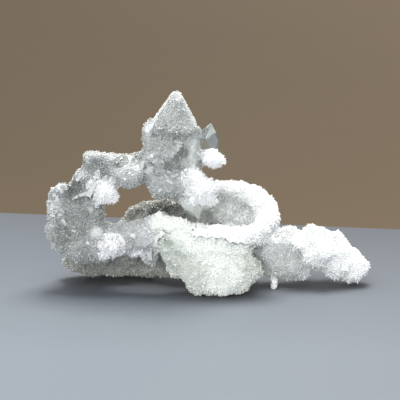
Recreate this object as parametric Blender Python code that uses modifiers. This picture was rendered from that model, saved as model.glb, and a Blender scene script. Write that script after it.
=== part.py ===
"""Apophyllite crystals on a branching piece of stalactitic chalcedony.

The chalcedony is a rounded, knobbly growth that forks into an arch, an arm, a
curled loop, a front mass, a tail and the mass behind them. Each branch is one
solid that ends at its fork. On the branches sit four tufts of fine white
crystals, a cluster of coated points grown together, and two clear crystals.

All lengths below are millimetres. X runs to the right as the piece is seen from
its front, Y away from the viewer and Z up. The finished piece is moved so that
the origin is under the middle of its box, on the surface that it stands on.
"""

import math
from typing import NamedTuple

import bmesh
import bpy
from mathutils import Matrix, Vector

MM = 0.001

# The gap that pieces keep where one has grown against another.
GAP = 0.4
MOST_CORNER_STRETCH = 1.5

# The grain of the fused form before it is thinned to its faces.
VOXEL = 0.75
LUMP_SPACING = 5.2
RIPPLE_SPACING = 2.6
RIPPLE_HEIGHT = 1.0

# Everything below this height is ground off, so that the feet are flat.
FOOT_HEIGHT = 0.5
GROUND_BLOCK = (200.0, 120.0, 12.0)

# Apophyllite is tetragonal: the faces of its pyramid climb at this angle.
PYRAMID_ANGLE = math.radians(60.4)
SNAP = 0.001


class Crystal(NamedTuple):
    """A square prism under a pyramid that is turned 45 degrees to it.

    tip is the middle of its top, lean points from its root to its tip, turn spins
    it about that line in degrees, and blunt is how much of the point is missing.
    """

    tip: tuple
    lean: tuple
    turn: float
    half_width: float
    length: float
    blunt: float = 0.0


class Growth(NamedTuple):
    """One grown piece.

    A bead is (x, y, z, radius). A limb is a row of beads joined by a tapering
    tube, and a knob is a bead on its own.
    """

    colour: tuple
    faces: int
    limbs: tuple = ()
    knobs: tuple = ()
    crystals: tuple = ()
    lump_height: float = 1.5
    roughness: float = 0.5


GREY = (0.50, 0.54, 0.51)
CREAM = (0.72, 0.75, 0.68)
WHITE = (0.88, 0.90, 0.90)
SNOW = (0.94, 0.95, 0.95)
SHADED = (0.44, 0.46, 0.43)
CLEAR = (0.80, 0.84, 0.82)

CLEAR_CRYSTALS = {
    "clear_point": Crystal((0.4, 1.0, 70.7), (0.19, -0.05, 1.0), 0.0, 4.7, 14.0),
    "hanging_crystal": Crystal((-4.7, -8.0, 31.2), (0.40, -0.15, -0.91), 0.0, 3.2, 11.5),
}

# A tuft is a round cushion of fine crystals.
TUFTS = {
    "arch_tuft": Growth(
        SNOW,
        170,
        knobs=((-43.3, -6.0, 42.3, 5.8), (-47.0, -6.0, 44.4, 3.6), (-40.6, -6.0, 40.4, 3.6)),
        lump_height=0.8,
    ),
    "lobe_tuft": Growth(
        SNOW,
        120,
        knobs=((-41.0, -10.6, 20.6, 4.8), (-42.6, -10.0, 17.4, 3.2)),
        lump_height=0.8,
    ),
    "top_tuft": Growth(
        SNOW,
        150,
        knobs=((1.0, -4.6, 56.6, 5.0), (4.3, -4.2, 55.4, 3.2), (-1.4, -3.6, 58.0, 3.0)),
        lump_height=0.8,
    ),
    "arm_tuft": Growth(
        SNOW,
        230,
        knobs=(
            (-2.5, -9.0, 44.1, 6.4),
            (-6.3, -7.0, 48.8, 4.8),
            (0.8, -9.0, 39.9, 3.4),
            (-7.3, -9.0, 40.2, 3.6),
            (2.2, -8.0, 45.6, 3.2),
        ),
        lump_height=0.8,
    ),
}

BRANCHES = {
    "point_cluster": Growth(
        GREY,
        560,
        knobs=(
            (-17.0, 2.0, 55.4, 7.0),
            (-10.0, 2.5, 56.0, 6.8),
            (-24.6, 2.0, 57.0, 5.2),
            (-25.2, 2.0, 66.4, 4.0),
            (-17.0, 6.0, 62.0, 6.4),
            (-5.0, 1.0, 55.6, 4.8),
            (-7.3, -0.6, 59.8, 5.2),
            (-8.2, -2.0, 54.6, 4.8),
            (-16.5, -5.0, 56.5, 5.0),
            (-15.0, 1.4, 65.4, 7.8),
            (-6.4, 0.6, 64.0, 4.2),
            (-20.6, -5.2, 68.4, 2.9),
            (-15.6, -6.8, 67.8, 3.2),
            (-9.8, -6.6, 68.8, 2.8),
            (-5.8, -3.4, 67.8, 3.0),
        ),
        crystals=(
            Crystal((-13.9, 2.0, 84.2), (0.07, 0.0, 1.0), 45.0, 12.4, 15.4, 2.5),
            Crystal((-14.0, 2.0, 82.6), (0.07, 0.0, 1.0), 45.0, 7.3, 25.0, 2.5),
            Crystal((-25.0, 1.0, 73.2), (-0.10, 0.0, 1.0), 24.0, 3.6, 16.0, 1.6),
            Crystal((-10.2, -8.0, 64.2), (0.90, -0.28, 0.42), 45.0, 5.3, 16.5, 0.6),
            Crystal((-9.0, 12.5, 74.0), (0.35, 0.5, 0.9), 10.0, 4.8, 18.0, 0.8),
            Crystal((-23.5, 9.5, 69.0), (-0.5, 0.6, 0.8), 30.0, 3.8, 14.0, 0.6),
        ),
        lump_height=1.0,
    ),
    "front_mass": Growth(
        CREAM,
        950,
        limbs=(
            (
                (-15.9, -9.0, 22.6, 7.2),
                (-7.5, -11.0, 21.6, 8.4),
                (1.6, -12.0, 20.8, 8.4),
                (10.8, -10.0, 19.7, 7.8),
            ),
            (
                (-13.4, -8.0, 13.0, 5.8),
                (-5.0, -12.5, 11.9, 8.2),
                (4.1, -13.5, 10.6, 8.9),
                (12.5, -11.5, 10.8, 8.2),
                (17.8, -10.5, 10.4, 5.6),
            ),
            ((-4.2, -13.0, 6.4, 7.1), (4.9, -14.5, 6.2, 6.8), (11.6, -12.5, 5.8, 6.4)),
            ((-20.0, -8.0, 29.2, 4.6), (-14.5, -9.5, 29.2, 4.8), (-8.0, -12.5, 27.3, 4.2)),
        ),
        knobs=(
            (-14.2, -9.0, 16.4, 6.6),
            (1.0, -2.0, 13.0, 9.0),
            (-16.6, -9.5, 10.4, 2.8),
            (-14.4, -8.0, 7.4, 3.2),
            (8.0, -18.0, 6.6, 3.6),
        ),
    ),
    "curled_loop": Growth(
        WHITE,
        960,
        limbs=(
            (
                (-7.5, 5.0, 43.5, 5.2),
                (0.1, 9.0, 41.2, 4.2),
                (6.0, 11.0, 40.2, 5.1),
                (12.8, 10.0, 39.7, 5.5),
                (19.1, 6.0, 37.9, 5.9),
                (23.6, 1.0, 34.5, 6.1),
                (24.3, -4.0, 29.9, 6.2),
                (21.2, -9.0, 26.5, 5.8),
                (15.7, -12.0, 25.1, 5.4),
                (9.0, -14.0, 25.1, 5.0),
                (1.6, -15.0, 26.0, 4.4),
                (-5.8, -14.5, 26.8, 4.2),
            ),
            (
                (0.1, 14.0, 29.8, 5.4),
                (7.8, 12.5, 29.3, 5.6),
                (15.4, 9.5, 29.1, 5.5),
                (20.4, 6.0, 27.2, 5.1),
            ),
            ((7.0, 14.0, 35.5, 4.6), (14.0, 12.0, 34.5, 4.8)),
        ),
        knobs=((8.0, 5.5, 23.6, 5.6), (16.0, 3.0, 22.6, 6.2), (20.0, -2.0, 22.5, 5.6)),
    ),
    "centre_arm": Growth(
        GREY,
        360,
        limbs=(
            (
                (-25.2, 2.0, 50.2, 6.8),
                (-20.1, 0.0, 46.8, 7.4),
                (-14.2, -3.0, 45.2, 7.4),
                (-8.4, -4.5, 45.2, 6.6),
            ),
        ),
        knobs=(
            (-21.5, -3.0, 42.6, 4.8),
            (-13.0, -8.0, 47.2, 3.8),
            (-15.0, 5.0, 46.0, 5.6),
        ),
    ),
    "left_arch": Growth(
        GREY,
        1400,
        limbs=(
            (
                (-63.0, 0.0, 26.5, 6.2),
                (-59.8, -1.0, 21.8, 8.6),
                (-53.5, -3.0, 20.2, 9.8),
                (-47.0, -4.0, 20.2, 9.4),
                (-41.2, -4.0, 21.2, 8.6),
                (-35.3, -4.0, 22.6, 7.4),
                (-29.3, -5.0, 23.6, 7.8),
                (-23.0, -6.0, 24.4, 7.8),
                (-17.5, -8.0, 24.2, 7.6),
            ),
            (
                (-60.7, -1.0, 21.0, 7.8),
                (-62.4, 0.0, 28.5, 7.2),
                (-60.6, 1.0, 35.2, 7.6),
                (-56.4, 2.0, 39.3, 7.6),
                (-51.3, 2.0, 44.5, 7.6),
                (-48.0, 2.5, 49.4, 7.2),
                (-42.9, 3.0, 51.4, 6.8),
                (-36.1, 3.0, 51.4, 6.6),
                (-30.2, 3.0, 51.4, 6.8),
                (-25.2, 2.0, 52.0, 6.4),
            ),
            ((-50.6, -0.5, 36.4, 7.6), (-49.8, -1.5, 30.0, 7.0)),
        ),
        knobs=(
            (-64.5, 0.0, 40.4, 4.6),
            (-65.8, -2.0, 36.3, 4.0),
            (-66.0, -3.0, 33.2, 3.8),
            (-66.4, -2.0, 24.7, 4.2),
            (-53.5, -2.0, 48.6, 3.8),
            (-61.8, -4.5, 43.2, 3.6),
            (-33.0, -4.0, 49.2, 6.6),
            (-40.6, -1.5, 54.4, 4.6),
            (-39.4, -3.5, 50.0, 3.8),
            (-34.0, 1.0, 53.6, 4.8),
            (-20.9, -6.0, 30.2, 4.8),
            (-25.1, -6.0, 29.6, 4.4),
            (-32.0, -6.0, 17.6, 4.2),
            (-25.2, -6.0, 16.0, 4.6),
            (-58.0, 7.0, 27.0, 6.2),
            (-45.0, 6.0, 22.0, 6.6),
            (-47.0, 7.5, 48.0, 5.4),
        ),
        crystals=(
            Crystal((-48.3, -1.0, 58.8), (-0.02, -0.04, 1.0), 4.0, 4.6, 11.0, 8.4),
            Crystal((-46.0, -7.6, 51.8), (0.40, -0.30, 0.85), 20.0, 1.7, 10.0, 0.6),
            Crystal((-57.2, -7.4, 39.6), (-0.86, -0.35, -0.40), 30.0, 2.0, 9.5, 0.5),
            Crystal((-23.9, -8.0, 9.4), (0.12, -0.10, -1.0), 22.0, 3.0, 11.0, 0.4),
        ),
    ),
    "tail": Growth(
        WHITE,
        1000,
        limbs=(
            (
                (24.8, 6.0, 15.8, 6.4),
                (31.7, 8.0, 18.6, 6.6),
                (38.4, 7.0, 18.8, 6.4),
                (44.3, 5.0, 18.6, 7.0),
                (51.1, 4.0, 16.4, 7.0),
                (57.8, 4.0, 10.4, 8.2),
                (62.4, 4.0, 8.4, 7.2),
            ),
            ((27.4, 5.0, 9.0, 6.8), (34.2, 3.6, 7.2, 6.4), (40.4, 3.0, 6.8, 5.0)),
        ),
        knobs=(
            (34.6, 8.0, 23.6, 3.8),
            (42.5, 5.0, 22.8, 4.5),
            (47.1, 4.0, 22.8, 4.1),
            (54.4, 4.0, 20.5, 4.6),
            (66.0, 5.0, 9.6, 4.2),
            (53.7, 3.0, 6.0, 5.6),
            (60.5, 3.0, 5.2, 5.6),
            (46.2, 2.5, 10.4, 5.4),
            (38.9, -1.0, 11.8, 5.1),
            (37.5, -2.6, 18.0, 3.8),
            (47.0, -2.0, 15.4, 5.2),
            (28.2, 3.0, 4.6, 4.5),
            (50.0, 11.0, 12.0, 6.0),
            (41.0, 13.0, 14.0, 5.6),
            (60.0, 9.0, 11.0, 5.0),
        ),
        crystals=(Crystal((27.2, -3.2, 0.6), (0.0, -0.25, -1.0), 10.0, 1.5, 9.0),),
    ),
    "rear_mass": Growth(
        SHADED,
        820,
        limbs=(
            (
                (-59.4, 12.0, 8.4, 5.6),
                (-51.9, 15.5, 5.6, 5.9),
                (-42.4, 17.0, 4.9, 5.4),
                (-31.9, 16.0, 5.1, 5.6),
                (-22.3, 12.0, 6.0, 5.4),
                (-14.5, 5.0, 8.2, 5.2),
            ),
            (
                (-38.5, 12.5, 20.6, 4.6),
                (-35.5, 14.0, 24.6, 5.0),
                (-31.1, 15.5, 27.6, 5.8),
                (-26.5, 16.0, 28.8, 6.0),
                (-20.5, 16.5, 29.8, 6.0),
                (-12.0, 16.0, 30.2, 6.0),
                (-3.0, 15.5, 29.5, 5.2),
            ),
            (
                (-30.0, 15.0, 15.0, 7.0),
                (-20.0, 15.0, 16.5, 8.6),
                (-8.0, 13.0, 17.0, 9.6),
                (4.0, 11.0, 15.5, 9.4),
                (15.0, 9.0, 14.0, 8.6),
            ),
        ),
        knobs=(
            (-56.0, 10.0, 15.5, 6.8),
            (-46.0, 12.0, 12.0, 6.4),
            (-36.0, 9.0, 12.0, 6.0),
            (-14.0, 20.0, 22.0, 5.4),
            (-2.0, 20.0, 13.0, 6.0),
            (10.0, 16.0, 8.0, 6.6),
            (-24.0, 21.0, 10.0, 5.4),
        ),
    ),
}


def clear_scene():
    """Leave the file with none of its own objects."""
    for obj in list(bpy.data.objects):
        bpy.data.objects.remove(obj)


def new_collection(name, shown):
    collection = bpy.data.collections.new(name)
    collection.hide_render = not shown
    bpy.context.scene.collection.children.link(collection)
    return collection


def dress(obj, colour, roughness, transmission=0.0):
    """Give an object its own Principled material."""
    material = bpy.data.materials.new(obj.name + "_finish")
    material.use_nodes = True
    shader = material.node_tree.nodes["Principled BSDF"]
    shader.inputs["Base Color"].default_value = (*colour, 1.0)
    shader.inputs["Roughness"].default_value = roughness
    shader.inputs["Metallic"].default_value = 0.0
    shader.inputs["Transmission Weight"].default_value = transmission
    shader.inputs["IOR"].default_value = 1.54
    obj.data.materials.clear()
    obj.data.materials.append(material)


def object_of(bm, name, collection):
    """Turn a bmesh, in millimetres, into an object of the given collection."""
    bmesh.ops.scale(bm, vec=(MM, MM, MM), verts=bm.verts)
    mesh = bpy.data.meshes.new(name)
    bm.to_mesh(mesh)
    bm.free()
    obj = bpy.data.objects.new(name, mesh)
    collection.objects.link(obj)
    return obj


def make_guide(obj):
    """Keep an object out of renders: it only shapes the others."""
    obj.hide_render = True
    obj.display_type = "WIRE"
    return obj


def bake(obj):
    """Apply an object's modifiers to its mesh."""
    graph = bpy.context.evaluated_depsgraph_get()
    mesh = bpy.data.meshes.new_from_object(obj.evaluated_get(graph))
    old = obj.data
    obj.modifiers.clear()
    obj.data = mesh
    bpy.data.meshes.remove(old)


def combine(obj, other, operation):
    """Join another solid to an object, or take it out, for good."""
    boolean = obj.modifiers.new(other.name, "BOOLEAN")
    boolean.operation = operation
    boolean.solver = "EXACT"
    boolean.object = other
    bake(obj)


def add_ball(bm, x, y, z, radius):
    place = Matrix.Translation((x, y, z)) @ Matrix.Scale(radius, 4)
    bmesh.ops.create_icosphere(bm, subdivisions=2, radius=1.0, matrix=place)


def add_limb(bm, beads):
    """A tapering tube, as closely spaced balls from bead to bead."""
    for start, end in zip(beads, beads[1:]):
        first, last = Vector(start), Vector(end)
        run = (last.xyz - first.xyz).length
        steps = max(1, math.ceil(run / (0.35 * min(start[3], end[3]))))
        for step in range(steps):
            add_ball(bm, *first.lerp(last, step / steps))
    add_ball(bm, *beads[-1])


def model_crystal(name, crystal, collection):
    """A square block, planed off by the four faces of its pyramid."""
    bm = bmesh.new()
    top = 0.0 if crystal.blunt else crystal.half_width
    height = crystal.length + top
    size = Matrix.Diagonal((2.0 * crystal.half_width, 2.0 * crystal.half_width, height, 1.0))
    middle = Matrix.Translation((0.0, 0.0, top - height / 2.0))
    bmesh.ops.create_cube(bm, size=1.0, matrix=middle @ size)
    tilt = Matrix.Rotation(PYRAMID_ANGLE, 3, "X")
    for quarter in range(4):
        facing = Matrix.Rotation(math.radians(45.0 + 90.0 * quarter), 3, "Z")
        bmesh.ops.bisect_plane(
            bm,
            geom=[*bm.verts, *bm.edges, *bm.faces],
            dist=SNAP,
            plane_co=(0.0, 0.0, crystal.blunt),
            plane_no=facing @ tilt @ Vector((0.0, 0.0, 1.0)),
            clear_outer=True,
        )
        bmesh.ops.holes_fill(bm, edges=[e for e in bm.edges if e.is_boundary])
    bmesh.ops.triangulate(bm, faces=bm.faces)
    stand = Vector(crystal.lean).to_track_quat("Z", "Y").to_matrix().to_4x4()
    spin = Matrix.Rotation(math.radians(crystal.turn), 4, "Z")
    bmesh.ops.transform(bm, matrix=Matrix.Translation(crystal.tip) @ stand @ spin, verts=bm.verts)
    bmesh.ops.recalc_face_normals(bm, faces=bm.faces)
    return object_of(bm, name, collection)


def add_relief(obj, kind, spacing, height, middle):
    """Raise lumps from a noise pattern that is fixed in space."""
    texture = bpy.data.textures.new(f"{obj.name}_{kind.lower()}", kind)
    texture.noise_scale = spacing * MM
    displace = obj.modifiers.new(texture.name, "DISPLACE")
    displace.texture = texture
    displace.texture_coords = "GLOBAL"
    displace.strength = height * MM
    displace.mid_level = middle


def model_growth(name, growth, collection):
    """Fuse a growth's beads, round the joins, raise its lumps and thin the mesh."""
    bm = bmesh.new()
    for limb in growth.limbs:
        add_limb(bm, limb)
    for knob in growth.knobs:
        add_ball(bm, *knob)
    obj = object_of(bm, name, collection)
    remesh = obj.modifiers.new("fuse", "REMESH")
    remesh.mode = "VOXEL"
    remesh.voxel_size = VOXEL * MM
    soften = obj.modifiers.new("soften", "SMOOTH")
    soften.factor = 0.5
    soften.iterations = 2
    add_relief(obj, "VORONOI", LUMP_SPACING, -growth.lump_height, 0.38)
    add_relief(obj, "CLOUDS", RIPPLE_SPACING, RIPPLE_HEIGHT, 0.5)
    bake(obj)
    thin = obj.modifiers.new("thin", "DECIMATE")
    thin.ratio = growth.faces / (2.0 * len(obj.data.polygons))
    thin.use_collapse_triangulate = True
    bake(obj)
    return obj


def room_for(obj, collection):
    """A cutter: the same form, larger all round by the gap between neighbours."""
    room = obj.copy()
    room.data = obj.data.copy()
    room.name = obj.name + "_room"
    collection.objects.link(room)
    bm = bmesh.new()
    bm.from_mesh(room.data)
    bm.normal_update()
    shifts = [
        vert.normal * GAP * MM * min(vert.calc_shell_factor(), MOST_CORNER_STRETCH)
        for vert in bm.verts
    ]
    for vert, shift in zip(bm.verts, shifts):
        vert.co += shift
    bm.to_mesh(room.data)
    bm.free()
    return make_guide(room)


def boxes_meet(first, second):
    """Whether the boxes around two objects overlap."""
    corners_a = [Vector(corner) for corner in first.bound_box]
    corners_b = [Vector(corner) for corner in second.bound_box]
    return all(
        min(a[i] for a in corners_a) < max(b[i] for b in corners_b)
        and min(b[i] for b in corners_b) < max(a[i] for a in corners_a)
        for i in range(3)
    )


def keep_largest(obj):
    """Drop the chips that a cut has left loose."""
    bm = bmesh.new()
    bm.from_mesh(obj.data)
    left = set(bm.verts)
    bodies = []
    while left:
        body = {left.pop()}
        edge = list(body)
        while edge:
            near = {e.other_vert(v) for v in edge for e in v.link_edges} - body
            body |= near
            edge = list(near)
        left -= body
        bodies.append(body)
    bodies.sort(key=len, reverse=True)
    for chip in bodies[1:]:
        bmesh.ops.delete(bm, geom=list(chip), context="VERTS")
    bmesh.ops.triangulate(bm, faces=bm.faces)
    bm.to_mesh(obj.data)
    bm.free()


def ground_block(collection):
    """The block under the piece's feet."""
    bm = bmesh.new()
    middle = Matrix.Translation((0.0, 0.0, FOOT_HEIGHT - GROUND_BLOCK[2] / 2.0))
    size = Matrix.Diagonal((*GROUND_BLOCK, 1.0))
    bmesh.ops.create_cube(bm, size=1.0, matrix=middle @ size)
    return make_guide(object_of(bm, "ground", collection))


def stand_at_origin(pieces):
    """Move everything so that the origin is under the middle of the pieces' box."""
    corners = [vert.co for piece in pieces for vert in piece.data.vertices]
    low = Vector([min(corner[i] for corner in corners) for i in range(3)])
    high = Vector([max(corner[i] for corner in corners) for i in range(3)])
    foot = Vector(((low.x + high.x) / 2.0, (low.y + high.y) / 2.0, low.z))
    for obj in bpy.data.objects:
        obj.location = -foot


def main():
    clear_scene()
    specimen = new_collection("apophyllite_on_chalcedony", shown=True)
    guides = new_collection("guides", shown=False)
    ground = ground_block(guides)

    pieces, rooms = [], []
    for name, crystal in CLEAR_CRYSTALS.items():
        piece = model_crystal(name, crystal, specimen)
        rooms.append(room_for(piece, guides))
        dress(piece, CLEAR, 0.05, transmission=1.0)
        pieces.append(piece)

    # Each growth gives way to what was made before it. Its own room is copied before
    # it is cut, while its surface is still whole.
    for name, growth in {**TUFTS, **BRANCHES}.items():
        piece = model_growth(name, growth, specimen)
        own_rooms = [room_for(piece, guides)]
        for number, crystal in enumerate(growth.crystals, start=1):
            body = make_guide(model_crystal(f"{name}_crystal_{number}", crystal, guides))
            own_rooms.append(room_for(body, guides))
            combine(piece, body, "UNION")
        bpy.context.view_layer.update()
        for cutter in [*rooms, ground]:
            if boxes_meet(piece, cutter):
                combine(piece, cutter, "DIFFERENCE")
        keep_largest(piece)
        rooms += own_rooms
        dress(piece, growth.colour, growth.roughness)
        pieces.append(piece)

    stand_at_origin(pieces)


main()
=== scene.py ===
"""The looks of the apophyllite on chalcedony: druse, tufts, clear crystals, table and light.

Each branch of chalcedony, each tuft and the group of coated points is dressed in a
coat of small crystals that grow out of a smooth body. The body is the solid's own
form, drawn in by the depth of the coat, so that the tips of the crystals reach the
solid's surface. The two clear crystals are the solids themselves.
"""

import logging
import math
from dataclasses import dataclass
from enum import Enum
from typing import Any, Iterable

import bmesh
import bpy
import numpy as np
from mathutils import Matrix, Vector
from mathutils.bvhtree import BVHTree

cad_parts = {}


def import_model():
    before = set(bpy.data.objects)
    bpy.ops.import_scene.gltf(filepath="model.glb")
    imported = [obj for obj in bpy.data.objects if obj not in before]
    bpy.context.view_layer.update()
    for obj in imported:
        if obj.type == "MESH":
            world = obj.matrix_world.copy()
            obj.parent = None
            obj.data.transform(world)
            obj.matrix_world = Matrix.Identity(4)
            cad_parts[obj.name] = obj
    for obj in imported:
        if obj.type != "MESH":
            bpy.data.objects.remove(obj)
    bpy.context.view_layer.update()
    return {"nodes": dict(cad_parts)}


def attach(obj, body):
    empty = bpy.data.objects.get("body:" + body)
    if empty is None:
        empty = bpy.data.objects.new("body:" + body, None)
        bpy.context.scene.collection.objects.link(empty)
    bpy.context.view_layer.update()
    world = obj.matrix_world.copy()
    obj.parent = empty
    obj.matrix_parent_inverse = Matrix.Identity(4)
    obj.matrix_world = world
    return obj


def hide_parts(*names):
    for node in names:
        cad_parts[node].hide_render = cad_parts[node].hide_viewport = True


LOG = logging.getLogger("specimen")
MM = 0.001
CHALCEDONY_IOR = 1.54
APOPHYLLITE_IOR = 1.535

Colour = tuple[float, float, float]
Place = tuple[float, float, float]


class Sock:
    """A node socket that takes part in Python arithmetic."""

    def __init__(self, graph: "Graph", socket: bpy.types.NodeSocket) -> None:
        """Wrap an output socket of a graph."""
        self.graph = graph
        self.socket = socket

    def __add__(self, other: Any) -> "Sock":
        """The sum of two values."""
        return self.graph.math("ADD", self, other)

    def __radd__(self, other: Any) -> "Sock":
        """The sum, with the number on the left."""
        return self.graph.math("ADD", other, self)

    def __sub__(self, other: Any) -> "Sock":
        """The difference of two values."""
        return self.graph.math("SUBTRACT", self, other)

    def __rsub__(self, other: Any) -> "Sock":
        """The difference, with the number on the left."""
        return self.graph.math("SUBTRACT", other, self)

    def __mul__(self, other: Any) -> "Sock":
        """The product of two values."""
        return self.graph.math("MULTIPLY", self, other)

    def __rmul__(self, other: Any) -> "Sock":
        """The product, with the number on the left."""
        return self.graph.math("MULTIPLY", other, self)

    def clamped(self) -> "Sock":
        """The value, kept between 0 and 1."""
        return self.graph.math("ADD", self, 0.0, clamp=True)


class Graph:
    """A node tree, written as calls and expressions.

    The MIX values are where a Mix node for colours keeps its factor, its two colours
    and its result.
    """

    MIX_INPUTS = (0, 6, 7)
    MIX_RESULT = 2
    NOISE_ROUGHNESS = 0.55

    def __init__(self, tree: bpy.types.NodeTree) -> None:
        """Start on an existing tree.

        Args:
            tree: the tree that receives the nodes.
        """
        self.tree = tree

    def node(self, kind: str, settings: dict | None = None, sockets: dict | None = None) -> bpy.types.Node:
        """Make one node.

        Args:
            kind: the node's type.
            settings: its properties, set first.
            sockets: values or links of its inputs, by name or number.

        Returns:
            The new node.
        """
        node = self.tree.nodes.new(kind)
        for name, value in (settings or {}).items():
            setattr(node, name, value)
        for key, value in (sockets or {}).items():
            self.feed(node.inputs[key], value)
        return node

    def feed(self, socket: bpy.types.NodeSocket, value: Any) -> None:
        """Link an input, or set its value.

        Args:
            socket: the input.
            value: a socket to link, or a plain value.
        """
        if isinstance(value, Sock):
            self.tree.links.new(value.socket, socket)
        elif isinstance(value, bpy.types.NodeSocket):
            self.tree.links.new(value, socket)
        else:
            socket.default_value = value

    def out(self, kind: str, output: str | int, settings: dict | None = None, **sockets: Any) -> Sock:
        """Make a node and give one of its outputs.

        Args:
            kind: the node's type.
            output: the output's name or number.
            settings: its properties.
            sockets: values or links of its inputs; an underscore stands for a space.

        Returns:
            The output.
        """
        named = {key.replace("_", " "): value for key, value in sockets.items()}
        return Sock(self, self.node(kind, settings, named).outputs[output])

    def math(self, operation: str, *values: Any, clamp: bool = False) -> Sock:
        """Make a Math node.

        Args:
            operation: what it does.
            values: its operands.
            clamp: whether the result is kept between 0 and 1.

        Returns:
            The result.
        """
        settings = {"operation": operation, "use_clamp": clamp}
        node = self.node("ShaderNodeMath", settings, dict(enumerate(values)))
        return Sock(self, node.outputs[0])

    def mix(self, factor: Any, first: Any, second: Any, blend: str = "MIX") -> Sock:
        """Mix two colours.

        Args:
            factor: how much of the second is taken.
            first: a colour or a socket.
            second: a colour or a socket.
            blend: the blend type.

        Returns:
            The mixed colour.
        """
        node = self.node("ShaderNodeMix", {"data_type": "RGBA", "blend_type": blend})
        for number, value in zip(self.MIX_INPUTS, (factor, first, second)):
            self.feed(node.inputs[number], (*value, 1.0) if isinstance(value, tuple) else value)
        return Sock(self, node.outputs[self.MIX_RESULT])

    def grey(self, value: Any) -> Sock:
        """A colour with the same value in each channel."""
        return self.out("ShaderNodeCombineColor", 0, Red=value, Green=value, Blue=value)

    def bumps(self, size: float, detail: float, height: float, strength: float) -> Sock:
        """Make a normal with fine relief.

        Args:
            size: the width of the relief's features, in metres.
            detail: its octaves.
            height: how high it stands, in metres.
            strength: how much of it shows.

        Returns:
            The normal.
        """
        relief = self.noise(size, detail)
        return self.out("ShaderNodeBump", 0, Strength=strength, Distance=height, Height=relief)

    def attribute(self, name: str) -> Sock:
        """The value that a mesh's points hold under a name."""
        return self.out("ShaderNodeAttribute", "Fac", {"attribute_name": name})

    def noise(self, size: float, detail: float = 2.0, contrast: float = 1.0) -> Sock:
        """Noise from 0 to 1 on object coordinates.

        Args:
            size: the width of its features, in metres.
            detail: its octaves.
            contrast: how far it is stretched about its middle.

        Returns:
            The noise value.
        """
        place = self.out("ShaderNodeTexCoord", "Object")
        value = self.out(
            "ShaderNodeTexNoise",
            0,
            Vector=place,
            Scale=1.0 / size,
            Detail=detail,
            Roughness=self.NOISE_ROUGHNESS,
        )
        return ((value - 0.5) * contrast + 0.5).clamped()


def new_material(name: str) -> tuple[bpy.types.Material, Graph, bpy.types.Node]:
    """Start a material.

    Args:
        name: its name.

    Returns:
        The material, its graph and its shader.
    """
    material = bpy.data.materials.new(name)
    material.use_nodes = True
    return material, Graph(material.node_tree), material.node_tree.nodes["Principled BSDF"]


@dataclass(frozen=True)
class DruseFinish:
    """A body and coat of small crystals, from grey and glassy to white and milky.

    deep is the colour where the attribute milk is 0, and white where it is 1. Below 0
    the druse darkens, by up to dusk: painted shade in recesses and on shadowed walls,
    and a darker glassy tone elsewhere. Clouds and grains of the sizes in _mm make the
    milk uneven by their shares. The deep and white root shades are how bright the
    painted shade at the roots of the crystals leaves them against their tips. Crystals
    differ in tone by speckle and in roughness by gloss_range, and those whose tint is
    above glint_from are whiter by up to glint, as painted glints.
    """

    name: str
    deep: Colour
    white: Colour
    deep_roughness: float = 0.22
    white_roughness: float = 0.55
    gloss_range: float = 0.35
    speckle: float = 0.38
    milky_speckle: float = 0.2
    glint: float = 0.4
    glint_from: float = 0.87
    glint_gain: float = 12.0
    deep_root_shade: float = 0.75
    white_root_shade: float = 0.84
    dark_tone_and_shade: float = 0.85
    cloud_mm: float = 6.0
    cloud_share: float = 0.35
    grain_mm: float = 1.1
    grain_share: float = 0.25
    relief_mm: float = 0.35
    relief_height_mm: float = 0.08
    subsurface: float = 0.6
    scatter_mm: float = 1.2
    scatter_tone: Colour = (1.0, 1.0, 0.92)

    def material(self) -> bpy.types.Material:
        """Build the material.

        Returns:
            A material that reads the attributes milk, tint and tip.
        """
        material, graph, shader = new_material(self.name)
        milk, tint, tip = (graph.attribute(name) for name in ("milk", "tint", "tip"))
        cloud = graph.noise(self.cloud_mm * MM, 3.0, 1.6)
        grain = graph.noise(self.grain_mm * MM, 2.0, 1.8)
        uneven = (cloud - 0.5) * self.cloud_share + (grain - 0.5) * self.grain_share * (1.0 - milk)
        # Painted glints: crystals with a high tint are made whiter, standing for light caught on their
        # facets.
        glint = ((tint - self.glint_from) * self.glint_gain).clamped() * self.glint
        whiteness = graph.math("MAXIMUM", (milk + uneven).clamped(), glint)
        body = graph.mix(whiteness, self.deep, self.white)
        # Painted shade: the roots of the crystals, and the body between them, are darker than their tips.
        hollow = whiteness * (self.white_root_shade - self.deep_root_shade) + self.deep_root_shade
        speckle = (tint - 0.5) * self.speckle * (1.0 - whiteness * (1.0 - self.milky_speckle))
        # depth is each crystal's random tone times this painted root shade.
        depth = (speckle + 1.0) * ((1.0 - hollow) * tip + hollow)
        # Where milk is below 0 the colour darkens: painted shade in recesses and on shadowed walls, and a
        # darker glassy tone elsewhere.
        depth = depth * (1.0 - (milk * -1.0).clamped() * self.dark_tone_and_shade)
        graph.feed(shader.inputs["Base Color"], graph.mix(1.0, body, graph.grey(depth), "MULTIPLY"))
        spread = self.white_roughness - self.deep_roughness
        roughness = whiteness * spread + self.deep_roughness + (tint - 0.5) * self.gloss_range
        graph.feed(shader.inputs["Roughness"], roughness.clamped())
        shader.inputs["IOR"].default_value = CHALCEDONY_IOR
        shader.inputs["Subsurface Weight"].default_value = self.subsurface
        shader.inputs["Subsurface Radius"].default_value = self.scatter_tone
        shader.inputs["Subsurface Scale"].default_value = self.scatter_mm * MM
        relief = graph.bumps(self.relief_mm * MM, 2.0, self.relief_height_mm * MM, 0.25)
        graph.feed(shader.inputs["Normal"], relief)
        return material


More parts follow.
